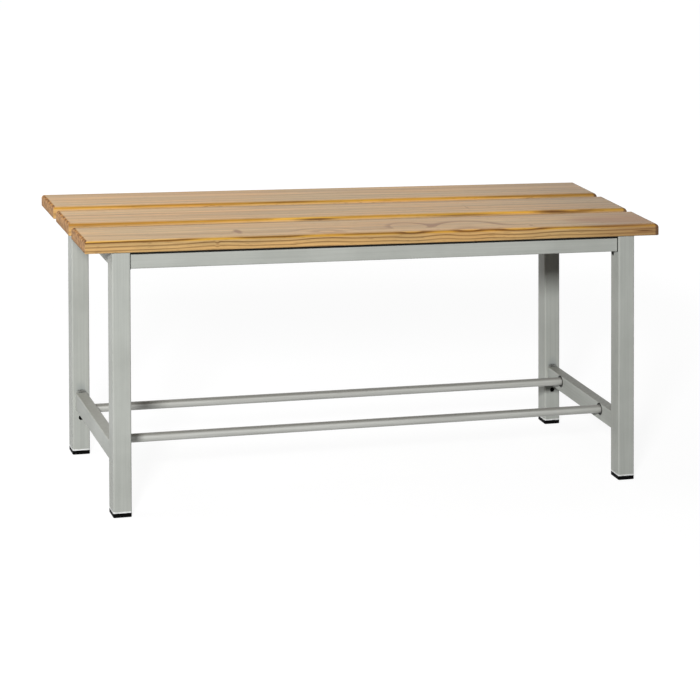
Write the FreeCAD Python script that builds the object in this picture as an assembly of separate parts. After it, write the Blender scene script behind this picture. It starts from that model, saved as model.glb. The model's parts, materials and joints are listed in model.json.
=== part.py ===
import FreeCAD, Part
import os

# Locker room bench: three timber slats on a welded steel tube frame, with two shoe rods.
# Millimetres. +Z up, +X along the seat, the front is at -Y.
# Origin on the floor, under the middle of the seat.

# Seat slats
seat_length = 1000.0
seat_height = 440.0
slat_width = 96.0
slat_thickness = 20.0
slat_gap = 21.0
slat_top_radius = 6.0
slat_bottom_radius = 2.0

# How far the seat stands out past the frame
end_overhang = 44.0
front_overhang = 3.5

# Legs, square tube
leg_side = 30.0
leg_corner = 2.5
leg_wall = 1.5

# Front and rear rails, square tube, set back a little from the legs' outer faces and clear of the slats
long_rail_height = 25.0
long_rail_depth = 25.0
long_rail_drop = 2.5
long_rail_setback = 4.0
long_rail_corner = 2.0
long_rail_wall = 1.5

# Cross rails, one tube on edge at the top of each end frame and one above the floor
cross_rail_width = 20.0
cross_rail_height = 30.0
cross_rail_corner = 2.0
cross_rail_wall = 1.5
lower_rail_underside = 77.0

# Shoe rods, round tube, which pass the inner walls of the lower rails and stop on the outer walls
rod_diameter = 14.0
rod_wall = 1.5
rod_spacing = 156.0
rod_hole_clearance = 1.5
rod_hole_below_rail_top = 2.2

# Vent holes in the legs, each through one wall under a welded rail
vent_diameter = 9.0
lower_vent_below_rail = 9.0
upper_vent_below_rail = 3.0
upper_vent_from_edge = 2.6

# Foot inserts, a hollow plug with ribs that grip the bore of the leg
foot_flange = 7.0
foot_edge_radius = 1.0
foot_plug_height = 20.0
foot_plug_wall = 2.0
foot_plug_corner = 1.2
foot_rib_count = 3
foot_rib_thickness = 1.6
foot_rib_depth = 1.5
foot_fit = 0.1

# Slat screws, pan heads with a cross recess, driven up through the top cross rails
screw_shank = 4.5
screw_tip_length = 5.0
screw_head_diameter = 9.0
screw_head_height = 3.2
screw_head_round = 2.0
screw_bite = 13.0
screw_hole_clearance = 0.25
screw_from_leg = 16.0
recess_length = 4.6
recess_width = 1.1
recess_depth = 1.6

# Fillet welds, with the crest of the bead as a share of its leg
weld_leg = 2.5
weld_crest = 0.62

# Places that follow from the sizes
frame_length = seat_length - 2 * end_overhang
slat_pitch = slat_width + slat_gap
seat_depth = 2 * slat_pitch + slat_width
frame_depth = seat_depth - 2 * front_overhang
frame_top = seat_height - slat_thickness
leg_middle_x = frame_length / 2 - leg_side / 2
leg_middle_y = frame_depth / 2 - leg_side / 2
inner_x = frame_length / 2 - leg_side
inner_y = frame_depth / 2 - leg_side
long_rail_underside = frame_top - long_rail_drop - long_rail_height
upper_rail_underside = frame_top - cross_rail_height
lower_rail_top = lower_rail_underside + cross_rail_height
rod_hole_diameter = rod_diameter + 2 * rod_hole_clearance
rod_height = lower_rail_top - rod_hole_below_rail_top - rod_hole_diameter / 2
screw_hole_diameter = screw_shank + 2 * screw_hole_clearance
screw_reach = inner_y - screw_from_leg

axis_x = FreeCAD.Vector(1, 0, 0)
axis_y = FreeCAD.Vector(0, 1, 0)
axis_z = FreeCAD.Vector(0, 0, 1)
touch = 0.001

ends = {"left": -1, "right": 1}
sides = {"front": -1, "rear": 1}
slat_rows = {"front": -1, "middle": 0, "rear": 1}


def save(name, shape):
    shape.exportStep(os.path.join("parts", name + ".step"))


def around(middle, size):
    # Low and high corner of a box of this size round its middle.
    return middle - size / 2, middle + size / 2


def box(low, high):
    size = high - low
    return Part.makeBox(size.x, size.y, size.z, low)


def edges_along(solid, axis):
    return [edge for edge in solid.Edges if edge.tangentAt(edge.FirstParameter).cross(axis).Length < touch]


def bar(axis, low, high, corner):
    block = box(low, high)
    return block.makeFillet(corner, edges_along(block, axis))


def tube(axis, low, high, corner, wall):
    # The bore keeps an even wall round the corners, down to a small drawn radius.
    drawn_radius = 0.2
    across = FreeCAD.Vector(1, 1, 1) - axis
    bore = bar(axis, low + across * wall, high - across * wall, max(corner - wall, drawn_radius))
    return bar(axis, low, high, corner).cut(bore)


def hole(start, direction, length, diameter):
    return Part.makeCylinder(diameter / 2, length, start, direction)


def rounded_board(axis, low, high):
    # The edges along the axis are rounded, more on top than underneath.
    board = box(low, high)
    for level, radius in ((high.z, slat_top_radius), (low.z, slat_bottom_radius)):
        edges = [edge for edge in edges_along(board, axis) if abs(edge.CenterOfMass.z - level) < touch]
        board = board.makeFillet(radius, edges)
    return board


def seat_slat(row):
    middle = FreeCAD.Vector(0, row * slat_pitch, frame_top + slat_thickness / 2)
    low, high = around(middle, FreeCAD.Vector(seat_length, slat_width, slat_thickness))
    board = rounded_board(axis_x, low, high).common(rounded_board(axis_y, low, high))
    for end in ends.values():
        pilot_mouth = FreeCAD.Vector(end * leg_middle_x, row * screw_reach, frame_top)
        board = board.cut(hole(pilot_mouth, axis_z, screw_bite, screw_hole_diameter))
    return board


def leg(end, side):
    middle = FreeCAD.Vector(end * leg_middle_x, side * leg_middle_y, (foot_flange + frame_top) / 2)
    low, high = around(middle, FreeCAD.Vector(leg_side, leg_side, frame_top - foot_flange))
    post = tube(axis_z, low, high, leg_corner, leg_wall)
    lower_z = lower_rail_underside - lower_vent_below_rail - vent_diameter / 2
    lower_vent = FreeCAD.Vector(middle.x, middle.y, lower_z)
    post = post.cut(hole(lower_vent, -side * axis_y, leg_side, vent_diameter))
    upper_y = side * (inner_y + upper_vent_from_edge + vent_diameter / 2)
    upper_z = long_rail_underside - upper_vent_below_rail - vent_diameter / 2
    upper_vent = FreeCAD.Vector(middle.x, upper_y, upper_z)
    return post.cut(hole(upper_vent, -end * axis_x, leg_side, vent_diameter))


def long_rail(side):
    middle_y = side * (frame_depth / 2 - long_rail_setback - long_rail_depth / 2)
    middle = FreeCAD.Vector(0, middle_y, long_rail_underside + long_rail_height / 2)
    size = FreeCAD.Vector(2 * inner_x, long_rail_depth, long_rail_height)
    return tube(axis_x, *around(middle, size), long_rail_corner, long_rail_wall)


def cross_rail(end, underside):
    middle = FreeCAD.Vector(end * leg_middle_x, 0, underside + cross_rail_height / 2)
    size = FreeCAD.Vector(cross_rail_width, 2 * inner_y, cross_rail_height)
    return tube(axis_y, *around(middle, size), cross_rail_corner, cross_rail_wall)


def top_cross_rail(end):
    rail = cross_rail(end, upper_rail_underside)
    for row in slat_rows.values():
        start = FreeCAD.Vector(end * leg_middle_x, row * screw_reach, upper_rail_underside)
        rail = rail.cut(hole(start, axis_z, cross_rail_height, screw_hole_diameter))
    return rail


def lower_cross_rail(end):
    rail = cross_rail(end, lower_rail_underside)
    for side in sides.values():
        start = FreeCAD.Vector(end * leg_middle_x, side * rod_spacing / 2, rod_height)
        rail = rail.cut(hole(start, -end * axis_x, cross_rail_width, rod_hole_diameter))
    return rail


def shoe_rod(side):
    reach = leg_middle_x + cross_rail_width / 2 - cross_rail_wall
    start = FreeCAD.Vector(-reach, side * rod_spacing / 2, rod_height)
    rod = Part.makeCylinder(rod_diameter / 2, 2 * reach, start, axis_x)
    return rod.cut(hole(start, axis_x, 2 * reach, rod_diameter - 2 * rod_wall))


def foot_insert(end, side):
    x = end * leg_middle_x
    y = side * leg_middle_y

    def layer(side_length, bottom, height, corner):
        middle = FreeCAD.Vector(x, y, bottom + height / 2)
        return bar(axis_z, *around(middle, FreeCAD.Vector(side_length, side_length, height)), corner)

    grip_side = leg_side - 2 * leg_wall - 2 * foot_fit
    core_side = grip_side - 2 * foot_rib_depth
    hollow_side = core_side - 2 * foot_plug_wall
    glide = layer(leg_side, 0, foot_flange, leg_corner)
    floor_edges = [edge for edge in glide.Edges if edge.CenterOfMass.z < touch]
    insert = glide.makeFillet(foot_edge_radius, floor_edges)
    insert = insert.fuse(layer(core_side, foot_flange, foot_plug_height, foot_plug_corner))
    rib_pitch = foot_plug_height / foot_rib_count
    for number in range(foot_rib_count):
        rib_bottom = foot_flange + (number + 1) * rib_pitch - foot_rib_thickness
        insert = insert.fuse(layer(grip_side, rib_bottom, foot_rib_thickness, foot_plug_corner))
    hollow = layer(hollow_side, foot_flange, foot_plug_height, foot_plug_corner)
    return insert.cut(hollow).removeSplitter()


def slat_screw(end, row):
    place = FreeCAD.Vector(end * leg_middle_x, row * screw_reach, upper_rail_underside)
    head_bottom = place - axis_z * screw_head_height
    shank_length = cross_rail_height + screw_bite - screw_hole_clearance - screw_tip_length
    head = Part.makeCylinder(screw_head_diameter / 2, screw_head_height, head_bottom)
    rim = [edge for edge in head.Edges if edge.CenterOfMass.z < head_bottom.z + touch]
    head = head.makeFillet(screw_head_round, rim)
    shank = Part.makeCylinder(screw_shank / 2, shank_length, place)
    tip = Part.makeCone(screw_shank / 2, 0, screw_tip_length, place + axis_z * shank_length)
    screw = head.fuse(shank).fuse(tip)
    recess_middle = head_bottom + axis_z * recess_depth / 2
    for size in ((recess_length, recess_width), (recess_width, recess_length)):
        screw = screw.cut(box(*around(recess_middle, FreeCAD.Vector(*size, recess_depth))))
    return screw.removeSplitter()


def weld_bead(start, along, length, out, up):
    # A rounded fillet in the corner between two faces, which run off along out and up.
    foot = start + out * weld_leg
    head = start + up * weld_leg
    crest = start + (out + up) * weld_leg * weld_crest
    outline = Part.Wire([
        Part.LineSegment(start, foot).toShape(),
        Part.Arc(foot, crest, head).toShape(),
        Part.LineSegment(head, start).toShape(),
    ])
    return Part.Face(outline).extrude(along * length)


def cross_rail_beads(height, up):
    # Across the flat of the tube, at both ends of the left and the right rail.
    length = cross_rail_width - 2 * cross_rail_corner
    beads = []
    for end in ends.values():
        for side in sides.values():
            start = FreeCAD.Vector(end * leg_middle_x - length / 2, side * inner_y, height)
            beads.append(weld_bead(start, axis_x, length, -side * axis_y, up))
    return beads


def long_rail_beads():
    # Under the flat of the tube, at both ends of the front and the rear rail.
    length = long_rail_depth - 2 * long_rail_corner
    beads = []
    for end in ends.values():
        for side in sides.values():
            start_y = side * (frame_depth / 2 - long_rail_setback - long_rail_corner)
            start = FreeCAD.Vector(end * inner_x, start_y, long_rail_underside)
            beads.append(weld_bead(start, -side * axis_y, length, -end * axis_x, -axis_z))
    return beads


os.makedirs("parts", exist_ok=True)

for row_name, row in slat_rows.items():
    save("seat_slat_" + row_name, seat_slat(row))

for end_name, end in ends.items():
    for side_name, side in sides.items():
        save("leg_" + side_name + "_" + end_name, leg(end, side))
        save("foot_insert_" + side_name + "_" + end_name, foot_insert(end, side))
    save("top_cross_rail_" + end_name, top_cross_rail(end))
    save("lower_cross_rail_" + end_name, lower_cross_rail(end))

for side_name, side in sides.items():
    save(side_name + "_rail", long_rail(side))
    save("shoe_rod_" + side_name, shoe_rod(side))

screws = [slat_screw(end, row) for end in ends.values() for row in slat_rows.values()]
save("slat_screws", Part.makeCompound(screws))

lower_beads = cross_rail_beads(lower_rail_top, axis_z) + cross_rail_beads(lower_rail_underside, -axis_z)
save("weld_beads_lower_rails", Part.makeCompound(lower_beads))
save("weld_beads_upper_rails", Part.makeCompound(cross_rail_beads(upper_rail_underside, -axis_z)))
save("weld_beads_long_rails", Part.makeCompound(long_rail_beads()))
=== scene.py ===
import json
import math
import random

import bpy
from mathutils import Matrix, Vector


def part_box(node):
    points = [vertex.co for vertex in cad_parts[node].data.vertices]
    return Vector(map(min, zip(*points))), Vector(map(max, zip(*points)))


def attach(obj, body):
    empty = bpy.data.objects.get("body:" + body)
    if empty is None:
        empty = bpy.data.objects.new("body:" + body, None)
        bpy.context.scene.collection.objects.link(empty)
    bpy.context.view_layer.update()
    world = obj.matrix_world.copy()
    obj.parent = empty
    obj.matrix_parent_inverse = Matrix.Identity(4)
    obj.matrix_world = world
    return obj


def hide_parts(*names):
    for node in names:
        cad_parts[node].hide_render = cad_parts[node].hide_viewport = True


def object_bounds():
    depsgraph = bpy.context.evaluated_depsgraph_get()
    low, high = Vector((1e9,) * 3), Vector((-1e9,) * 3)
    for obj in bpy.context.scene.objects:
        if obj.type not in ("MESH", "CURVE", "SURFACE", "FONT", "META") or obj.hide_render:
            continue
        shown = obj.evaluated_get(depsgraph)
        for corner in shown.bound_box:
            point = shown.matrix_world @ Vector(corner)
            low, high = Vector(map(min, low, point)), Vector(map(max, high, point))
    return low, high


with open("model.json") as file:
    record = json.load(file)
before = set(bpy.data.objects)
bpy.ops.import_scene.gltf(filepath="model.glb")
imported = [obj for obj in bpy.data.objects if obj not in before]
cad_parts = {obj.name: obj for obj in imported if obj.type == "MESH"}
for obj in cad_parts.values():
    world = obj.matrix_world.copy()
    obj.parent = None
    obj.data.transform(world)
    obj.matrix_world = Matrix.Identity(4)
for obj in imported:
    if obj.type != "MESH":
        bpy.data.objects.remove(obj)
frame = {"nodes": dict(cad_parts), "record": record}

cadBox = [list(corner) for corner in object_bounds()]
nodes = frame["nodes"]
slotOf = {part["node"]: part["material_slot"] for part in frame["record"]["subparts"]}
print("bench frame loaded:", len(nodes), "nodes")


# small helpers for the node trees

seedSteps = (1.0, 0.37, 0.71)   # how a seed moves a pattern along each axis
noiseSpan = (0.3, 0.7)          # where most of a noise lies
noiseMiddle = (0.5, 0.5, 0.5)


def newMaterial(name):
    material = bpy.data.materials.new(name)
    material.use_nodes = True
    tree = material.node_tree
    return material, tree, tree.nodes["Principled BSDF"]


def addNode(tree, kind, inputs=None, **settings):
    node = tree.nodes.new(kind)
    for key, value in settings.items():
        setattr(node, key, value)
    for key, value in (inputs or {}).items():
        plug(tree, node.inputs[key], value)
    return node


def plug(tree, socket, value):
    if isinstance(value, bpy.types.NodeSocket):
        tree.links.new(value, socket)
    else:
        socket.default_value = value


def split(tree, vector):
    return addNode(tree, "ShaderNodeSeparateXYZ", {0: vector}).outputs


def objectPlace(tree):
    return addNode(tree, "ShaderNodeTexCoord").outputs["Object"]


def objectNormal(tree):
    return split(tree, addNode(tree, "ShaderNodeTexCoord").outputs["Normal"])


def maths(tree, operation, first, second=0.0, third=0.0):
    inputs = {0: first, 1: second, 2: third}
    return addNode(tree, "ShaderNodeMath", inputs, operation=operation).outputs[0]


def vectorMaths(tree, operation, first, second=(0, 0, 0)):
    node = addNode(tree, "ShaderNodeVectorMath", {0: first, 1: second}, operation=operation)
    return node.outputs["Value" if operation in ("LENGTH", "DOT_PRODUCT") else "Vector"]


def stretched(tree, place, scale, seed):
    inputs = {"Vector": place, "Scale": scale, "Location": [seed * step for step in seedSteps]}
    return addNode(tree, "ShaderNodeMapping", inputs).outputs["Vector"]


def noise(tree, vector, scale=1.0, detail=2.0, roughness=0.5, output="Fac"):
    inputs = {"Vector": vector, "Scale": scale, "Detail": detail, "Roughness": roughness}
    return addNode(tree, "ShaderNodeTexNoise", inputs).outputs[output]


def mapRange(tree, value, span, target=(0.0, 1.0), curve="LINEAR"):
    inputs = {"Value": value, "From Min": span[0], "From Max": span[1],
              "To Min": target[0], "To Max": target[1]}
    return addNode(tree, "ShaderNodeMapRange", inputs, interpolation_type=curve).outputs["Result"]


def smoothRange(tree, value, span, target=(0.0, 1.0)):
    return mapRange(tree, value, span, target, "SMOOTHSTEP")


def mixColour(tree, factor, first, second, blend="MIX"):
    inputs = {0: factor, 6: first, 7: second}
    return addNode(tree, "ShaderNodeMix", inputs, data_type="RGBA", blend_type=blend).outputs[2]


def shaded(tree, colour, shade, amount=1.0):
    grey = addNode(tree, "ShaderNodeCombineColor", {0: shade, 1: shade, 2: shade}).outputs[0]
    return mixColour(tree, amount, colour, grey, "MULTIPLY")


def spotMask(tree, place, centre, size, core=0.0):
    # 1 in the core of an ellipsoid, 0 at its skin
    away = vectorMaths(tree, "DIVIDE", vectorMaths(tree, "SUBTRACT", place, centre), size)
    return mapRange(tree, vectorMaths(tree, "LENGTH", away), (core, 1.0), (1.0, 0.0), "SMOOTHERSTEP")


def insideBox(tree, place, centre, half):
    # 1 inside the box, 0 outside
    away = vectorMaths(tree, "DIVIDE", vectorMaths(tree, "SUBTRACT", place, centre), half)
    away = split(tree, vectorMaths(tree, "ABSOLUTE", away))
    widest = maths(tree, "MAXIMUM", maths(tree, "MAXIMUM", away["X"], away["Y"]), away["Z"])
    return maths(tree, "LESS_THAN", widest, 1.0)


def bump(tree, height, strength, distance):
    inputs = {"Height": height, "Strength": strength, "Distance": distance}
    return addNode(tree, "ShaderNodeBump", inputs).outputs["Normal"]


def dress(node, material):
    obj = nodes[node]
    obj.data.materials.clear()
    obj.data.materials.append(material)


# varnished pine, with growth rings round a pith that runs under each board
# heights on a board count down from the top of the seat

seatTop = cadBox[1][2]

pine = {
    "earlyWood": (0.635, 0.398, 0.158, 1),
    "lateWood": (0.105, 0.034, 0.002, 1),
    "warmTone": (1.05, 0.97, 0.88, 1),
    "coolTone": (0.94, 0.97, 1.00, 1),
    "roundLitTone": (1.06, 0.91, 0.30, 1),    # painted light: the rounded edges, free of the top's sheen, turn golden
    "topSheenEarlyWood": (0.652, 0.428, 0.207, 1),
    "topSheenLateWood": (0.33, 0.165, 0.060, 1),
    "knotWood": (0.22, 0.092, 0.032, 1),
    "redWood": (0.31, 0.138, 0.044, 1),
    "endRound": (0.455, 0.215, 0.058, 1),  # sawn ends drink more varnish
    "endFace": (0.52, 0.290, 0.130, 1),
    "endDark": (0.075, 0.028, 0.010, 1),
    # how far a surface faces up, or along the board
    "topLean": (0.68, 0.96),
    "roundLean": (0.15, 0.50),
    "endLean": (0.12, 0.50),
    "flatEndLean": (0.60, 0.95),
    # rings
    "ringPeak": 0.89,                      # darkest part of a ring, counted from its inner side
    "ringRise": (0.42, 0.85),
    "ringFall": (0.91, 1.0),
    "firstNumber": 60,                     # number of the first ring on the edge
    "ringToneScale": 0.9,
    "weakestRing": 0.60,
    "edgeHeights": (-0.010, -0.002),
    "edgeDepth": (0.74, 1.30),             # rings are darker towards the top of the edge
    "topContrast": 0.36,                   # painted sheen: the rings on top are washed out, as by the varnish's sheen
    "eyeHalo": 1.35,
    "eyeCore": 0.3,
    "knotFlow": 2,                         # rings bend round a knot this many times its size
    "knotPush": 0.0015,
    "knotCore": 0.3,
    # marks by place, with widths counted from the rear edge or the right end
    "rightSpan": (0.20, 0.50),
    "rightShadeTone": 0.72,                     # painted shade: the boards darken a little towards the right, away from the lamps
    "rightRimShade": 0.85,                      # and most on the right end's rounded edge, which is turned from the light
    "rimWidth": (0.008, 0.0035),
    "rearGold": (0.014, 0.004),            # golden strip along the rear edge, where the top's painted sheen stops
    "rearTop": 0.2,                        # share of the top's painted sheen that is left there
    "rearShadeStrip": (0.011, 0.005),
    # noises along the grain
    "fibreAmount": 0.85,
    "grain": {
        "wander": {"scale": (3.2, 8, 8), "seed": 0, "detail": 2.5, "roughness": 0.5},
        "streak": {"scale": (2.6, 170, 170), "seed": 9, "detail": 3.0, "roughness": 0.6,
                   "span": (0.34, 0.66), "shade": (0.80, 1.12)},
        "fibre": {"scale": (16, 620, 620), "seed": 0, "detail": 4.0, "roughness": 0.62,
                  "span": (0.28, 0.72), "shade": (0.76, 1.14)},
        "tone": {"scale": (4.0, 30, 30), "seed": 5, "detail": 3.0, "roughness": 0.5,
                 "span": (0.35, 0.65), "shade": (0.0, 1.0)},
        "fleck": {"scale": (55, 900, 900), "seed": 2, "detail": 1.0, "roughness": 0.5,
                  "span": (0.66, 0.74), "shade": (0.0, 0.55)},
        "blotch": {"scale": (130, 130, 150), "seed": 0, "detail": 2.0, "roughness": 0.6,
                   "span": (0.42, 0.58), "shade": (-0.20, 0.70)},
    },
    # sawn ends
    "poreScale": 1500,
    "poreShade": (0.70, 1.15),
    "endRings": 0.30,
    "flatBlotch": 0.60,                    # share of the blotches on the flat of the end
    "endFootHeights": (-0.0195, -0.0135),
    "endFootShade": 0.60,                       # painted shade at the foot of the end
    # finish
    "specular": 0.35,
    "varnishCoat": 0.05,
    "varnishRoughness": 0.25,
    "roughness": (0.36, 0.50),
    "endRoughness": 0.40,
    "ringRelief": 0.35,
    "fibreRelief": 0.65,
    "poreRelief": 1.5,
    "bump": (0.22, 0.0004),
}

boards = {
    "seat_slat_front": {
        "seed": 3.1,
        "pith": (-0.108, -0.140),          # from front to rear, and its height
        "tilt": (0.0015, 0.002),           # of the pith against the board
        "ringGap": 0.0056,
        "wander": 0.0022,
        "firstRing": (-0.165, -0.0017),    # where a dark ring meets the front edge
        "ringDepth": 1.0,                  # how dark the rings are on the edges
        "edgePaintedLight": 1.0,                  # and how much painted light brightens the wood between them
        # middle, size, push on the rings, and how much clearer the rings are there
        "eyes": [((0.156, -0.125, 0.0), (0.104, 0.044, 0.030), 0.0062, 0.50),
                 ((0.053, -0.122, 0.0), (0.060, 0.034, 0.030), 0.0070, 0.30),
                 ((-0.095, -0.140, 0.0), (0.070, 0.030, 0.030), 0.0060, 0.18),
                 ((-0.290, -0.165, -0.008), (0.075, 0.03, 0.03), -0.0020, 0.0),
                 ((-0.105, -0.165, -0.008), (0.070, 0.03, 0.03), -0.0022, 0.0),
                 ((0.050, -0.165, -0.008), (0.045, 0.03, 0.03), 0.0016, 0.0),
                 ((0.105, -0.165, -0.008), (0.032, 0.03, 0.03), -0.0006, 0.0),
                 ((0.150, -0.165, -0.008), (0.045, 0.03, 0.03), 0.0014, 0.0),
                 ((0.245, -0.165, -0.008), (0.080, 0.03, 0.03), 0.0018, 0.0),
                 ((0.410, -0.165, -0.008), (0.120, 0.03, 0.03), 0.0010, 0.0)],
        # middle, size and strength
        "knots": [((-0.241, -0.131, 0.0), (0.0090, 0.0200, 0.012), 0.75),
                  ((0.269, -0.147, 0.0), (0.0060, 0.0060, 0.012), 0.60),
                  ((-0.285, -0.166, -0.011), (0.0035, 0.0060, 0.006), 0.25)],
        "stains": [((0.060, -0.117, 0.0), (0.160, 0.060, 0.03), 0.22),
                   # the two stains towards the right end are reddish figure and also painted shade
                   # darkening that end
                   ((0.395, -0.124, 0.0), (0.085, 0.028, 0.03), 0.70),
                   ((0.470, -0.128, -0.008), (0.170, 0.08, 0.05), 0.72)],
        "streaks": [((0.473, -0.165, -0.011), (0.032, 0.01, 0.0024), 0.9)],
        "rearShade": 0.0,                  # painted shade along the rear edge, 0 for none
    },
    "seat_slat_middle": {
        "seed": 11.7,
        "pith": (0.042, -0.120),
        "tilt": (0.001, 0.002),
        "ringGap": 0.0072,
        "wander": 0.0020,
        "firstRing": (-0.048, -0.0016),
        "ringDepth": 0.66,
        "edgePaintedLight": 1.20,
        "eyes": [((-0.100, -0.046, -0.005), (0.09, 0.03, 0.02), -0.0030, 0.0),
                 ((0.380, -0.046, -0.005), (0.10, 0.03, 0.02), 0.0032, 0.0)],
        "knots": [((0.210, -0.010, 0.0), (0.0030, 0.0190, 0.012), 0.40)],
        "stains": [],
        "streaks": [((-0.077, -0.047, -0.0040), (0.065, 0.012, 0.0030), 0.95),
                    ((0.195, -0.047, -0.0042), (0.110, 0.012, 0.0026), 0.70),
                    ((0.362, -0.047, -0.0026), (0.055, 0.012, 0.0030), 0.95)],
        "rearShade": 0.0,
    },
    "seat_slat_rear": {
        "seed": 23.4,
        "pith": (0.165, -0.120),
        "tilt": (0.002, -0.002),
        "ringGap": 0.0074,
        "wander": 0.0024,
        "firstRing": (0.069, -0.0015),
        "ringDepth": 0.66,
        "edgePaintedLight": 1.08,
        "eyes": [((0.05, 0.120, 0.0), (0.16, 0.03, 0.05), 0.0025, 0.10)],
        "knots": [],
        "stains": [],
        "streaks": [((-0.090, 0.070, -0.0020), (0.100, 0.012, 0.0020), 0.70),
                    ((0.33, 0.070, -0.0020), (0.11, 0.012, 0.0018), 0.50)],
        "rearShade": 0.55,
    },
}


def grain(tree, place, board, layer, output="Fac"):
    values = pine["grain"][layer]
    vector = stretched(tree, place, values["scale"], board["seed"] + values["seed"])
    return noise(tree, vector, 1.0, values["detail"], values["roughness"], output)


def grainShade(tree, value, layer):
    return mapRange(tree, value, pine["grain"][layer]["span"], pine["grain"][layer]["shade"])


def spanBefore(edge, distances):
    return [edge - distance for distance in distances]


def growthRings(tree, place, board):
    # the grain wanders slowly along the board
    wander = grain(tree, place, board, "wander", "Color")
    wander = vectorMaths(tree, "SUBTRACT", wander, noiseMiddle)
    wander = vectorMaths(tree, "MULTIPLY", wander, (0, board["wander"] * 2, board["wander"] * 2))
    pithY, pithZ = board["pith"]
    fromPith = vectorMaths(tree, "SUBTRACT", place, (0, pithY, pithZ))
    turned = addNode(tree, "ShaderNodeMapping", {"Vector": fromPith, "Rotation": (0, *board["tilt"])})
    fromPith = vectorMaths(tree, "ADD", turned.outputs["Vector"], wander)
    radius = vectorMaths(tree, "LENGTH", vectorMaths(tree, "MULTIPLY", fromPith, (0, 1, 1)))
    clearness = pine["topContrast"]
    for centre, size, push, gain in board["eyes"]:
        radius = maths(tree, "MULTIPLY_ADD", spotMask(tree, place, centre, size), push, radius)
        if gain:
            halo = [side * pine["eyeHalo"] for side in size]
            around = spotMask(tree, place, centre, halo, pine["eyeCore"])
            clearness = maths(tree, "MULTIPLY_ADD", around, gain, clearness)
    knots = 0.0
    for centre, size, amount in board["knots"]:
        flow = spotMask(tree, place, centre, [side * pine["knotFlow"] for side in size])
        radius = maths(tree, "MULTIPLY_ADD", flow, pine["knotPush"], radius)
        knot = spotMask(tree, place, centre, size, pine["knotCore"])
        knots = maths(tree, "MAXIMUM", maths(tree, "MULTIPLY", knot, amount), knots)
    # one dark ring comes out just under the rounded top edge
    firstY, firstZ = board["firstRing"]
    firstRadius = math.hypot(firstY - pithY, firstZ - pithZ)
    phase = pine["ringPeak"] - firstRadius / board["ringGap"] + pine["firstNumber"]
    rings = maths(tree, "MULTIPLY_ADD", radius, 1 / board["ringGap"], phase)
    return rings, clearness, knots


def sawnEnd(tree, place, board, flatEnd, lateRing, pores):
    # the ends show the rings across, blotchy and rough from the saw
    blotch = grainShade(tree, grain(tree, place, board, "blotch"), "blotch")
    dark = maths(tree, "MULTIPLY_ADD", lateRing, pine["endRings"], blotch)
    dark = maths(tree, "MULTIPLY", dark, mapRange(tree, flatEnd, (0.0, 1.0), (1.0, pine["flatBlotch"])))
    height = split(tree, place)["Z"]
    # painted shade towards the foot of the end
    footShade = smoothRange(tree, height, pine["endFootHeights"], (pine["endFootShade"], 0.0))
    colour = mixColour(tree, flatEnd, pine["endRound"], pine["endFace"])
    colour = mixColour(tree, maths(tree, "MAXIMUM", dark, footShade), colour, pine["endDark"])
    return shaded(tree, colour, mapRange(tree, pores, noiseSpan, pine["poreShade"]))


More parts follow.
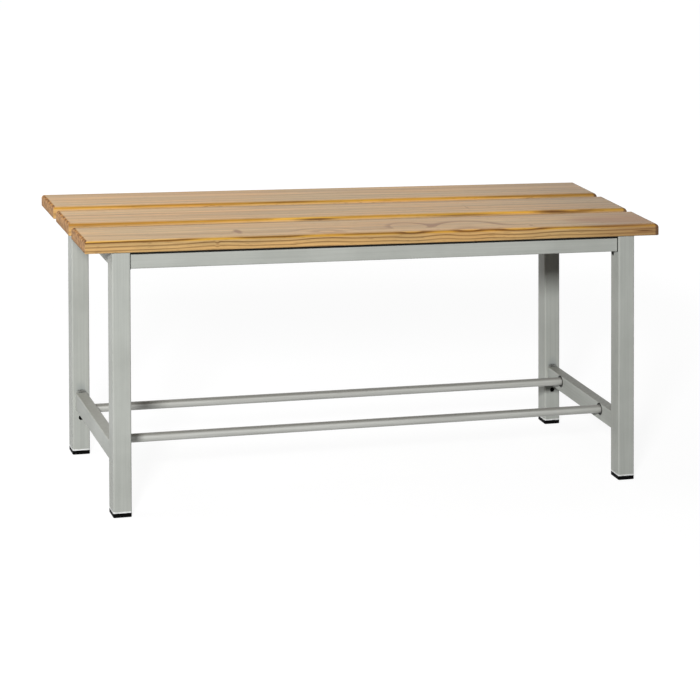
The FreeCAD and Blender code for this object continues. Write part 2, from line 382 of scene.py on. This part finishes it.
def makePine(name, board, corner):
    material, tree, shader = newMaterial(name)
    place = vectorMaths(tree, "SUBTRACT", objectPlace(tree), (0, 0, seatTop))
    spot = split(tree, place)
    normal = objectNormal(tree)
    endways = maths(tree, "ABSOLUTE", normal["X"])
    endGrain = smoothRange(tree, endways, pine["endLean"])
    rearStrip = spanBefore(corner.y, pine["rearGold"])
    # top faces get a painted sheen of the varnish: paler wood and fainter rings, less of it near the rear
    # edge
    topSide = maths(tree, "MULTIPLY", smoothRange(tree, normal["Z"], pine["topLean"]),
                    smoothRange(tree, spot["Y"], rearStrip, (1.0, pine["rearTop"])))
    rings, clearness, knots = growthRings(tree, place, board)
    ringNumber = addNode(tree, "ShaderNodeCombineXYZ", {"X": rings}).outputs[0]
    ringTone = noise(tree, ringNumber, pine["ringToneScale"], detail=1.0)
    saw = maths(tree, "FRACT", rings)
    # soft rise into the dark late wood, then a quick step back to light early wood
    lateRing = maths(tree, "MULTIPLY", smoothRange(tree, saw, pine["ringRise"]),
                     smoothRange(tree, saw, pine["ringFall"], (1.0, 0.0)))
    depth = board["ringDepth"]
    ringDepths = mapRange(tree, ringTone, noiseSpan, (pine["weakestRing"] * depth, depth))
    edgeDepth = mapRange(tree, spot["Z"], pine["edgeHeights"], pine["edgeDepth"])
    topDepth = mapRange(tree, topSide, (0.0, 1.0), (1.0, maths(tree, "DIVIDE", clearness, depth)))
    late = lateRing
    for factor in (ringDepths, edgeDepth, topDepth):
        late = maths(tree, "MULTIPLY", late, factor)
    lateColour = mixColour(tree, topSide, pine["lateWood"], pine["topSheenLateWood"])
    # painted light: the middle and rear boards' edge wood is lightened
    edgeWood = tuple(value * board["edgePaintedLight"] for value in pine["earlyWood"][:3]) + (1,)
    earlyColour = mixColour(tree, topSide, edgeWood, pine["topSheenEarlyWood"])
    colour = mixColour(tree, late, earlyColour, lateColour)
    # long streaks, fibres and broad tone
    streak = grain(tree, place, board, "streak")
    colour = shaded(tree, colour, grainShade(tree, streak, "streak"))
    fibre = grain(tree, place, board, "fibre")
    colour = shaded(tree, colour, grainShade(tree, fibre, "fibre"), pine["fibreAmount"])
    warmth = grainShade(tree, grain(tree, place, board, "tone"), "tone")
    tone = mixColour(tree, warmth, pine["coolTone"], pine["warmTone"])
    colour = mixColour(tree, 1.0, colour, tone, "MULTIPLY")
    # painted light: the rounded edges are tinted golden
    rounded = maths(tree, "SUBTRACT", smoothRange(tree, normal["Z"], pine["roundLean"]), topSide)
    roundLit = mixColour(tree, 1.0, colour, pine["roundLitTone"], "MULTIPLY")
    colour = mixColour(tree, rounded, colour, roundLit)
    # painted shade towards the right end
    rightShade = smoothRange(tree, spot["X"], pine["rightSpan"], (1.0, pine["rightShadeTone"]))
    colour = shaded(tree, colour, rightShade)
    # short dark flecks of resin
    fleck = grainShade(tree, grain(tree, place, board, "fleck"), "fleck")
    colour = mixColour(tree, fleck, colour, pine["lateWood"])
    if board["rearShade"]:
        # painted shade along the rear edge
        shadeStrip = spanBefore(corner.y, pine["rearShadeStrip"])
        colour = shaded(tree, colour, mapRange(tree, spot["Y"], shadeStrip, (1.0, board["rearShade"])))
    for marks, wood in (("stains", "redWood"), ("streaks", "lateWood")):
        for centre, size, amount in board[marks]:
            mark = maths(tree, "MULTIPLY", spotMask(tree, place, centre, size), amount)
            colour = mixColour(tree, mark, colour, pine[wood])
    if board["knots"]:
        colour = mixColour(tree, knots, colour, pine["knotWood"])
    pores = noise(tree, place, pine["poreScale"], roughness=0.7)
    flatEnd = mapRange(tree, endways, pine["flatEndLean"])
    endColour = sawnEnd(tree, place, board, flatEnd, lateRing, pores)
    colour = mixColour(tree, endGrain, colour, endColour)
    # painted shade on the right end's rounded edge
    rimStrip = spanBefore(corner.x, pine["rimWidth"])
    rimShade = maths(tree, "MULTIPLY", smoothRange(tree, spot["X"], rimStrip, (0.0, pine["rightRimShade"])),
                mapRange(tree, normal["X"], pine["flatEndLean"], (1.0, 0.0)))
    colour = mixColour(tree, rimShade, colour, pine["endDark"])
    plug(tree, shader.inputs["Base Color"], colour)
    rough = mapRange(tree, fibre, noiseSpan, pine["roughness"])
    rough = maths(tree, "MULTIPLY_ADD", endGrain, pine["endRoughness"], rough)
    plug(tree, shader.inputs["Roughness"], rough)
    relief = maths(tree, "MULTIPLY", fibre, pine["fibreRelief"])
    relief = maths(tree, "MULTIPLY_ADD", late, pine["ringRelief"], relief)
    endPores = maths(tree, "MULTIPLY", endGrain, pores)
    relief = maths(tree, "MULTIPLY_ADD", endPores, pine["poreRelief"], relief)
    plug(tree, shader.inputs["Normal"], bump(tree, relief, *pine["bump"]))
    shader.inputs["Specular IOR Level"].default_value = pine["specular"]
    shader.inputs["Coat Weight"].default_value = pine["varnishCoat"]
    shader.inputs["Coat Roughness"].default_value = pine["varnishRoughness"]
    return material


for node, board in boards.items():
    dress(node, makePine("varnishedPine_" + node.split("_")[-1], board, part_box(node)[1]))
print("seat slats dressed in pine")


# satin grey powder coat on the frame

framePaint = {
    "colour": (0.457, 0.473, 0.440, 1),
    "deepColour": (0.402, 0.416, 0.385, 1),
    "cloudScale": 9.0,
    "cloudSpan": (0.35, 0.68),
    "drawnScale": (330, 5),                   # lines across a tube, and along it
    "drawnSeed": 6.0,
    "drawnSpan": (0.34, 0.66),
    "drawnShade": (0.95, 1.04),
    "gritScale": 2100,
    "gritSpan": (0.60, 0.72),
    "gritAmount": 0.35,
    "breakupScale": 160,
    "edgeHighlightColour": (0.60, 0.61, 0.57, 1),
    "edgeRadius": 0.0016,
    "edgeSamples": 6,
    "edgeBend": (0.995, 0.93),
    "edgeHighlightSpan": (0.42, 0.66),
    "edgeHighlightAmount": (0.15, 0.8),
    "heatColour": (0.20, 0.225, 0.24, 1),
    "heatSize": (0.0150, 0.0080, 0.0240),
    "heatCore": 0.1,
    "heatAmount": 0.40,
    "burnColour": (0.055, 0.055, 0.052, 1),
    "burnShift": (-0.0015, 0.0022),           # along a lower rail from its end, and up from its top
    "burnSize": (0.0122, 0.0036, 0.0050),
    "burnCore": 0.30,
    "burnScale": 380,
    "burnSpan": (0.36, 0.52),
    "burnAmount": (0.25, 1.0),
    "topShadeColour": (0.34, 0.34, 0.305, 1),
    "topShadeHalf": (0.0105, 0.131, 0.003),
    "topShadeLean": (0.5, 0.9),
    "topShadeSpan": (0.3, 0.6),
    "topShadeAmount": (0.6, 1.0),
    "rightTopShade": 0.76,                        # painted shade: darker on the right rail
    "rightTopShadeSpan": (0.0, 0.1),
    "cutEndGlintColour": (0.86, 0.87, 0.86, 1),
    "cutEndHeight": 0.0090,
    "cutEndFade": 0.0008,
    "cutEndSpan": (0.3, 0.6),
    "cutEndAmount": (0.45, 1.0),
    "insideShadeColour": (0.030, 0.028, 0.026, 1),  # bare steel inside the tubes, darkened with painted shade
    "boreSkin": 0.00135,                      # outer part of the wall that counts as painted
    "boreEnd": 0.0005,
    "holeRim": 0.0105,
    "holeShift": 0.0015,                      # the painted shade round the hole lies a little towards the front
    "holeDepth": 0.001,
    "holeHalf": (0.0022, 0.02, 0.02),
    "gapShadeColour": (0.016, 0.016, 0.015, 1),    # painted shade under the slats and in the corners of the joints
    "gapPast": 0.0002,
    "gapDrop": 0.0006,
    "gapHalf": (0.0135, 0.0016),
    "jointHalf": (0.0011, 0.0132, 0.0132),
    "specular": 0.12,
    "roughness": (0.34, 0.46),
    "peelScale": 620,
    "gritRelief": 0.25,
    "bump": (0.10, 0.0003),
}

# a tube of each kind and the axis it lies along, the others being its mirror images
frameTubes = {
    "leg_rear_right": 2,
    "lower_cross_rail_right": 1,
    "top_cross_rail_right": 1,
    "rear_rail": 0,
}


def middleOf(box):
    return (box[0] + box[1]) / 2


def boreHalf(box, along):
    # half sizes of a tube's bore, with a little of its wall and past its ends
    half = (box[1] - box[0]) / 2
    grow = [-framePaint["boreSkin"]] * 3
    grow[along] = framePaint["boreEnd"]
    return half + Vector(grow)


def weldMarks(tree, place, mirrored, colour, lowRail):
    # dark heat marks round the welds of the lower rails
    inward, upward = framePaint["burnShift"]
    burnPlace = (middleOf(lowRail).x, lowRail[1].y + inward, lowRail[1].z + upward)
    heat = spotMask(tree, mirrored, burnPlace, framePaint["heatSize"], framePaint["heatCore"])
    heat = maths(tree, "MULTIPLY", heat, framePaint["heatAmount"])
    colour = mixColour(tree, heat, colour, framePaint["heatColour"])
    burn = spotMask(tree, mirrored, burnPlace, framePaint["burnSize"], framePaint["burnCore"])
    burnNoise = noise(tree, place, framePaint["burnScale"], detail=3.0, roughness=0.7)
    burnNoise = mapRange(tree, burnNoise, framePaint["burnSpan"], framePaint["burnAmount"])
    return mixColour(tree, maths(tree, "MULTIPLY", burn, burnNoise), colour, framePaint["burnColour"])


def bareSteelShade(tree, place, mirrored, lowRail):
    # bare steel inside the tubes and on the rims of the rod holes, darkened with painted shade
    inside = 0.0
    for node, along in frameTubes.items():
        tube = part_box(node)
        bore = insideBox(tree, mirrored, middleOf(tube), boreHalf(tube, along))
        inside = maths(tree, "MAXIMUM", bore, inside)
    rod = middleOf(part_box("shoe_rod_rear"))
    innerWall = (lowRail[0].x + framePaint["holeDepth"], rod.y, rod.z)
    nearWall = insideBox(tree, mirrored, innerWall, framePaint["holeHalf"])
    for side in (-1, 1):
        holeMiddle = (0.0, side * rod.y - framePaint["holeShift"], rod.z)
        fromRod = vectorMaths(tree, "SUBTRACT", place, holeMiddle)
        fromRod = vectorMaths(tree, "LENGTH", vectorMaths(tree, "MULTIPLY", fromRod, (0, 1, 1)))
        rimShade = maths(tree, "LESS_THAN", fromRod, framePaint["holeRim"])
        inside = maths(tree, "MAXIMUM", maths(tree, "MULTIPLY", rimShade, nearWall), inside)
    return inside


def paintedGapShade(tree, mirrored):
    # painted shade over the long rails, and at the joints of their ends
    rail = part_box("rear_rail")
    middle = middleOf(rail)
    past = framePaint["gapPast"]
    gap = insideBox(tree, mirrored, (0.0, middle.y, rail[1].z - framePaint["gapDrop"]),
                    (rail[1].x + past, *framePaint["gapHalf"]))
    joint = insideBox(tree, mirrored, (rail[1].x - past, middle.y, middle.z), framePaint["jointHalf"])
    return maths(tree, "MAXIMUM", gap, joint)


def makeFramePaint(name, drawnScale):
    material, tree, shader = newMaterial(name)
    place = objectPlace(tree)
    spot = split(tree, place)
    mirrored = vectorMaths(tree, "ABSOLUTE", place)
    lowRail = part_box("lower_cross_rail_right")
    cloud = noise(tree, place, framePaint["cloudScale"], detail=4.0, roughness=0.6)
    deep = mapRange(tree, cloud, framePaint["cloudSpan"])
    colour = mixColour(tree, deep, framePaint["colour"], framePaint["deepColour"])
    # faint lines that the tube was drawn with
    drawnPlace = stretched(tree, place, drawnScale, framePaint["drawnSeed"])
    drawn = noise(tree, drawnPlace, detail=2.5, roughness=0.6)
    drawnShade = mapRange(tree, drawn, framePaint["drawnSpan"], framePaint["drawnShade"])
    colour = shaded(tree, colour, drawnShade)
    grit = noise(tree, place, framePaint["gritScale"], roughness=0.6)
    gritMask = mapRange(tree, grit, framePaint["gritSpan"], (0.0, framePaint["gritAmount"]))
    colour = mixColour(tree, gritMask, colour, framePaint["deepColour"])
    # painted highlight on the corners of the tubes, broken up by noise
    bevel = addNode(tree, "ShaderNodeBevel", {"Radius": framePaint["edgeRadius"]},
                    samples=framePaint["edgeSamples"])
    trueNormal = addNode(tree, "ShaderNodeNewGeometry").outputs["Normal"]
    bend = vectorMaths(tree, "DOT_PRODUCT", bevel.outputs["Normal"], trueNormal)
    breakup = noise(tree, place, framePaint["breakupScale"], detail=3.0, roughness=0.7)
    edge = maths(tree, "MULTIPLY", mapRange(tree, bend, framePaint["edgeBend"]),
                 mapRange(tree, breakup, framePaint["edgeHighlightSpan"], framePaint["edgeHighlightAmount"]))
    colour = mixColour(tree, edge, colour, framePaint["edgeHighlightColour"])
    colour = weldMarks(tree, place, mirrored, colour, lowRail)
    # painted shade on the tops of the lower rails, under the seat
    topShadeMiddle = (middleOf(lowRail).x, 0.0, lowRail[1].z)
    topShade = insideBox(tree, mirrored, topShadeMiddle, framePaint["topShadeHalf"])
    upward = split(tree, trueNormal)["Z"]
    topShade = maths(tree, "MULTIPLY", topShade, mapRange(tree, upward, framePaint["topShadeLean"]))
    topShadeNoise = mapRange(tree, breakup, framePaint["topShadeSpan"], framePaint["topShadeAmount"])
    topShade = maths(tree, "MULTIPLY", topShade, topShadeNoise)
    rightShade = mapRange(tree, spot["X"], framePaint["rightTopShadeSpan"], (1.0, framePaint["rightTopShade"]))
    colour = mixColour(tree, topShade, colour, shaded(tree, framePaint["topShadeColour"], rightShade))
    # bright cut end of each leg over its foot, partly a painted reflection of the floor
    endHeight = framePaint["cutEndHeight"]
    fadeHeights = (endHeight + framePaint["cutEndFade"], endHeight)
    cutEndGlint = maths(tree, "MULTIPLY", mapRange(tree, spot["Z"], fadeHeights),
                   mapRange(tree, breakup, framePaint["cutEndSpan"], framePaint["cutEndAmount"]))
    colour = mixColour(tree, cutEndGlint, colour, framePaint["cutEndGlintColour"])
    inside = bareSteelShade(tree, place, mirrored, lowRail)
    colour = mixColour(tree, inside, colour, framePaint["insideShadeColour"])
    colour = mixColour(tree, paintedGapShade(tree, mirrored), colour, framePaint["gapShadeColour"])
    plug(tree, shader.inputs["Base Color"], colour)
    plug(tree, shader.inputs["Roughness"], mapRange(tree, cloud, noiseSpan, framePaint["roughness"]))
    peel = noise(tree, place, framePaint["peelScale"])
    peel = maths(tree, "MULTIPLY_ADD", grit, framePaint["gritRelief"], peel)
    plug(tree, shader.inputs["Normal"], bump(tree, peel, *framePaint["bump"]))
    shader.inputs["Specular IOR Level"].default_value = framePaint["specular"]
    return material


# smoother coat on the round rods, drawn along their length

rodPaint = {
    "colour": (0.52, 0.525, 0.495, 1),
    "darkColour": (0.43, 0.433, 0.405, 1),
    "drawnScale": (7, 260, 260),
    "drawnSeed": 4.0,
    "drawnSpan": (0.35, 0.65),
    "topShadeColour": (0.19, 0.185, 0.165, 1),
    "topShade": 0.75,
    "topShadeLean": (0.35, 0.85),
    "metal": 0.20,
    "roughness": (0.36, 0.48),
    "peelScale": 520,
    "drawnRelief": 0.5,
    "bump": (0.06, 0.0003),
}


def makeRodPaint():
    material, tree, shader = newMaterial("rodPaint")
    place = objectPlace(tree)
    drawnPlace = stretched(tree, place, rodPaint["drawnScale"], rodPaint["drawnSeed"])
    drawn = noise(tree, drawnPlace, detail=3.0, roughness=0.6)
    dark = mapRange(tree, drawn, rodPaint["drawnSpan"])
    colour = mixColour(tree, dark, rodPaint["colour"], rodPaint["darkColour"])
    # painted shade along the top of each rod, under the seat
    topShade = smoothRange(tree, objectNormal(tree)["Z"], rodPaint["topShadeLean"], (0.0, rodPaint["topShade"]))
    colour = mixColour(tree, topShade, colour, rodPaint["topShadeColour"])
    plug(tree, shader.inputs["Base Color"], colour)
    plug(tree, shader.inputs["Roughness"], mapRange(tree, drawn, noiseSpan, rodPaint["roughness"]))
    peel = noise(tree, place, rodPaint["peelScale"])
    peel = maths(tree, "MULTIPLY_ADD", drawn, rodPaint["drawnRelief"], peel)
    plug(tree, shader.inputs["Normal"], bump(tree, peel, *rodPaint["bump"]))
    shader.inputs["Metallic"].default_value = rodPaint["metal"]
    return material


# moulded black plastic feet

footPlastic = {
    "colour": (0.003, 0.003, 0.003, 1),
    "scuffColour": (0.010, 0.0095, 0.009, 1),
    "scuffScale": (90, 90, 420),
    "scuffSeed": 2.0,
    "scuffSpan": (0.52, 0.70),
    "scuffHeights": (0.0, 0.0040),
    "scuffHigher": 0.15,           # share of the scuffs that reaches higher up
    "mouldScale": 1400,
    "specular": 0.02,
    "roughness": (0.42, 0.60),
    "bump": (0.15, 0.0002),
}


def makeFootPlastic():
    material, tree, shader = newMaterial("footPlastic")
    place = objectPlace(tree)
    mould = noise(tree, place, footPlastic["mouldScale"], detail=3.0, roughness=0.6)
    scuffPlace = stretched(tree, place, footPlastic["scuffScale"], footPlastic["scuffSeed"])
    scuff = noise(tree, scuffPlace, detail=4.0, roughness=0.65)
    scuff = mapRange(tree, scuff, footPlastic["scuffSpan"])
    height = split(tree, place)["Z"]
    nearFloor = mapRange(tree, height, footPlastic["scuffHeights"], (1.0, footPlastic["scuffHigher"]))
    scuff = maths(tree, "MULTIPLY", scuff, nearFloor)
    colour = mixColour(tree, scuff, footPlastic["colour"], footPlastic["scuffColour"])
    plug(tree, shader.inputs["Base Color"], colour)
    plug(tree, shader.inputs["Roughness"], mapRange(tree, mould, noiseSpan, footPlastic["roughness"]))
    plug(tree, shader.inputs["Normal"], bump(tree, mould, *footPlastic["bump"]))
    shader.inputs["Specular IOR Level"].default_value = footPlastic["specular"]
    return material


# zinc plated screws

screwZinc = {
    "colour": (0.60, 0.60, 0.57, 1),
    "yellowColour": (0.56, 0.52, 0.40, 1),
    "patchScale": 420,
    "patchSpan": (0.42, 0.64),
    "metal": 1.0,
    "roughness": (0.24, 0.42),
    "bump": (0.08, 0.0002),
}


def makeScrewZinc():
    material, tree, shader = newMaterial("screwZinc")
    patch = noise(tree, objectPlace(tree), screwZinc["patchScale"], detail=3.0, roughness=0.6)
    yellow = mapRange(tree, patch, screwZinc["patchSpan"])
    colour = mixColour(tree, yellow, screwZinc["colour"], screwZinc["yellowColour"])
    plug(tree, shader.inputs["Base Color"], colour)
    plug(tree, shader.inputs["Roughness"], mapRange(tree, patch, noiseSpan, screwZinc["roughness"]))
    plug(tree, shader.inputs["Normal"], bump(tree, patch, *screwZinc["bump"]))
    shader.inputs["Metallic"].default_value = screwZinc["metal"]
    return material


across, lengthwise = framePaint["drawnScale"]
framePaints = {
    "leg": makeFramePaint("framePaintLegs", (across, across, lengthwise)),
    "long": makeFramePaint("framePaintLongRails", (lengthwise, across, across)),
    "cross": makeFramePaint("framePaintCrossRails", (across, lengthwise, across)),
}
coats = {
    "rod_paint": makeRodPaint(),
    "foot_plastic": makeFootPlastic(),
    "screw_zinc": makeScrewZinc(),
}


def paintFor(node):
    if node.startswith("leg"):
        return framePaints["leg"]
    if node in ("front_rail", "rear_rail"):
        return framePaints["long"]
    return framePaints["cross"]


for node, slot in slotOf.items():
    if slot in coats:
        dress(node, coats[slot])
    elif slot == "frame_paint":
        dress(node, paintFor(node))
print("frame, rods, feet and screws dressed")


# rippled weld beads, one modelled for each kind of seam and copied to every joint

weldBead = {
    "reach": 0.0020,               # radius of the bead
    "lift": 0.0008,                # how far its middle stands out of the corner
    "trim": 0.0020,                # it stops this far from the ends of the corner
    "ripplePitch": 0.0011,
    "rippleDepth": 0.16,
    "fewestSteps": 6,
    "endWidth": 0.35,              # share of the radius at the bead's ends
    "swelling": 5,
    "unevenness": (0.96, 1.04),
    "sides": 14,
    "seed": 7,
}


def deselect():
    if bpy.context.object and bpy.context.object.mode != "OBJECT":
        bpy.ops.object.mode_set(mode="OBJECT")
    bpy.ops.object.select_all(action="DESELECT")


def modelBead(length):
    # along +X from the origin, thick in the middle of each ripple
    deselect()
    dice = random.Random(weldBead["seed"])
    width = weldBead["endWidth"]
    bpy.ops.mesh.primitive_circle_add(vertices=weldBead["sides"], radius=weldBead["reach"] * width,
                                      fill_type="NGON", rotation=(0, math.radians(90), 0))
    bead = bpy.context.object
    bpy.ops.object.transform_apply(location=True, rotation=True, scale=True)
    bpy.ops.object.mode_set(mode="EDIT")
    bpy.ops.mesh.select_all(action="SELECT")
    steps = max(weldBead["fewestSteps"], round(length / weldBead["ripplePitch"]) * 2)
    for step in range(1, steps + 1):
        part = step / steps
        swell = min(1.0, weldBead["endWidth"] + weldBead["swelling"] * min(part, 1 - part))
        ripple = 1 - weldBead["rippleDepth"] * (step % 2)
        target = swell * ripple * dice.uniform(*weldBead["unevenness"])
        bpy.ops.mesh.extrude_region_move(TRANSFORM_OT_translate={"value": (length / steps, 0, 0)})
        bpy.ops.transform.resize(value=(1, target / width, target / width))
        width = target
    bpy.ops.mesh.select_all(action="SELECT")
    bpy.ops.mesh.normals_make_consistent(inside=False)
    bpy.ops.object.mode_set(mode="OBJECT")
    bpy.ops.object.shade_smooth()
    return bead


def placeBead(source, start, turn, side):
    # side is the way out of the corner, half along the rail and half along the leg
    deselect()
    source.select_set(True)
    bpy.context.view_layer.objects.active = source
    bpy.ops.object.duplicate(linked=False)
    bead = bpy.context.object
    bead.rotation_euler = (0, 0, turn)
    bead.location = Vector(start) + Vector(side) * weldBead["lift"]
    bpy.ops.object.transform_apply(location=True, rotation=True, scale=True)
    return bead


def joinBeads(name, beads, node):
    deselect()
    for bead in beads:
        bead.select_set(True)
    bpy.context.view_layer.objects.active = beads[0]
    bpy.ops.object.join()
    seam = bpy.context.object
    seam.name = name
    seam.data.name = name
    bpy.context.scene.cursor.location = (0, 0, 0)
    bpy.ops.object.origin_set(type="ORIGIN_CURSOR")
    seam.data.materials.clear()
    seam.data.materials.append(framePaints["cross"])
    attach(seam, "root")
    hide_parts(node)


def crossRailSeams(name, node, levels):
    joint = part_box("lower_cross_rail_right")
    length = joint[1].x - joint[0].x - 2 * weldBead["trim"]
    source = modelBead(length)
    beads = []
    for end in (-1, 1):
        for side in (-1, 1):
            for level, up in levels:
                start = (end * middleOf(joint).x - length / 2, side * joint[1].y, level)
                beads.append(placeBead(source, start, 0, (0, -side, up)))
    bpy.data.objects.remove(source)
    joinBeads(name, beads, node)


def longRailSeams(name, node):
    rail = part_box("front_rail")
    length = rail[1].y - rail[0].y - 2 * weldBead["trim"]
    source = modelBead(length)
    beads = []
    for end in (-1, 1):
        for railFront in (rail[0].y, -rail[1].y):
            start = (end * rail[1].x, railFront + weldBead["trim"], rail[0].z)
            beads.append(placeBead(source, start, math.radians(90), (-end, 0, -1)))
    bpy.data.objects.remove(source)
    joinBeads(name, beads, node)


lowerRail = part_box("lower_cross_rail_left")
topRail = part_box("top_cross_rail_left")
lowerLevels = [(lowerRail[1].z, 1), (lowerRail[0].z, -1)]
crossRailSeams("weldSeamsLowerRails", "weld_beads_lower_rails", lowerLevels)
crossRailSeams("weldSeamsUpperRails", "weld_beads_upper_rails", [(topRail[0].z, -1)])
longRailSeams("weldSeamsLongRails", "weld_beads_long_rails")
print("weld seams modelled")


# pale floor, white surround and soft lamps

studio = {
    "floorSize": 14.0,
    "floorDrop": 0.0004,
    "floorColour": (0.86, 0.86, 0.86),
    "floorBounce": 0.25,           # share of that colour that lights the bench from below
    "floorShadow": 0.14,           # share of the floor's own shading that the camera sees
    "floorGlow": (0.92, 1.0),      # the floor's glow, dimmer round the bench so that its shadow shows, and full far from it
    "glowReach": (0.8, 2.6),
    "white": (1, 1, 1, 1),
    "ambient": 0.015,
    "softboxes": {
        "keySoftbox": {
            "place": (-1.96, -3.58, 1.98),
            "aim": (0.0, 0.0, 0.30),
            "size": 0.55,
            "power": 194.0,
            "glare": True,
        },
        "leftSoftbox": {
            "place": (-1.49, 0.08, 0.85),
            "aim": (-0.45, 0.0, 0.30),
            "size": 0.5,
            "power": 6.0,
            "glare": False,
        },
        "topSoftbox": {
            "place": (-0.4, 0.3, 2.4),
            "aim": (0.0, 0.0, 0.44),
            "size": 1.0,
            "power": 10.0,
            "glare": False,
        },
        "rightSoftbox": {
            "place": (2.6, 1.1, 0.45),
            "aim": (0.45, 0.0, 0.30),
            "size": 1.0,
            "power": 12.0,
            "glare": False,
        },
        "rearSoftbox": {
            "place": (-0.5, 3.0, 0.55),
            "aim": (0.0, 0.16, 0.30),
            "size": 1.0,
            "power": 26.0,
            "glare": False,
        },
    },
}


def seenDirectly(tree):
    # camera, mirror and glass rays see the white surround
    path = addNode(tree, "ShaderNodeLightPath")
    either = maths(tree, "MAXIMUM", path.outputs["Is Camera Ray"], path.outputs["Is Glossy Ray"])
    return maths(tree, "MAXIMUM", either, path.outputs["Is Transmission Ray"])


def floorShade(tree, share):
    colour = tuple(value * share for value in studio["floorColour"]) + (1,)
    return addNode(tree, "ShaderNodeBsdfDiffuse", {"Color": colour}).outputs[0]


def makeFloor():
    deselect()
    bpy.ops.mesh.primitive_plane_add(size=studio["floorSize"], location=(0, 0, -studio["floorDrop"]))
    floor = bpy.context.object
    floor.name = "studioFloor"
    material = bpy.data.materials.new("studioFloor")
    material.use_nodes = True
    tree = material.node_tree
    tree.nodes.clear()
    lit = floorShade(tree, studio["floorBounce"])
    seen = floorShade(tree, studio["floorShadow"])
    fromBench = vectorMaths(tree, "LENGTH", objectPlace(tree))
    strength = smoothRange(tree, fromBench, studio["glowReach"], studio["floorGlow"])
    glow = addNode(tree, "ShaderNodeEmission", {"Color": studio["white"], "Strength": strength})
    seen = addNode(tree, "ShaderNodeAddShader", {0: seen, 1: glow.outputs[0]}).outputs[0]
    surface = addNode(tree, "ShaderNodeMixShader", {0: seenDirectly(tree), 1: lit, 2: seen})
    addNode(tree, "ShaderNodeOutputMaterial", {"Surface": surface.outputs[0]})
    floor.data.materials.append(material)


def makeSurround():
    world = bpy.data.worlds.new("studioSurround")
    bpy.context.scene.world = world
    world.use_nodes = True
    tree = world.node_tree
    tree.nodes.clear()
    ambient, white = [
        addNode(tree, "ShaderNodeBackground", {"Color": studio["white"], "Strength": strength}).outputs[0]
        for strength in (studio["ambient"], 1.0)]
    surface = addNode(tree, "ShaderNodeMixShader", {0: seenDirectly(tree), 1: ambient, 2: white})
    addNode(tree, "ShaderNodeOutputWorld", {"Surface": surface.outputs[0]})


def addSoftbox(name, place, aim, size, power, glare):
    deselect()
    bpy.ops.object.light_add(type="AREA", location=place)
    lamp = bpy.context.object
    lamp.name = name
    lamp.data.size = size
    lamp.data.energy = power
    lamp.visible_glossy = glare
    lamp.rotation_euler = (Vector(aim) - Vector(place)).to_track_quat("-Z", "Y").to_euler()


makeFloor()
makeSurround()
for name, box in studio["softboxes"].items():
    addSoftbox(name, **box)
print("floor and light placed")


# camera at the photograph's angle

view = {
    "place": (-1.2189, -3.3581, 1.2493),
    "turn": (73.567, -2.928, -19.055),
    "lens": 111.88,
    "sensor": 36,
    "farEnd": 100,
    # the photograph was straightened afterwards, so its picture leans sideways,
    # and stands more upright than a camera that looks down on the seat
    "lean": 0.0561,
    "upright": 0.2620,
}

deselect()
turn = [math.radians(angle) for angle in view["turn"]]
bpy.ops.object.empty_add(location=view["place"], rotation=turn)
stand = bpy.context.object
stand.name = "cameraStand"
bpy.ops.object.camera_add()
camera = bpy.context.object
camera.name = "photoCamera"
camera.parent = stand
camera.matrix_parent_inverse = Matrix(((1, view["lean"], 0, 0), (0, 1, 0, 0),
                                       (0, view["upright"], 1, 0), (0, 0, 0, 1)))
camera.location = (0, 0, 0)
camera.rotation_euler = (0, 0, 0)
camera.data.lens = view["lens"]
camera.data.sensor_width = view["sensor"]
camera.data.clip_end = view["farEnd"]
bpy.context.scene.camera = camera
bpy.context.scene.view_settings.view_transform = "Standard"
print("camera placed")
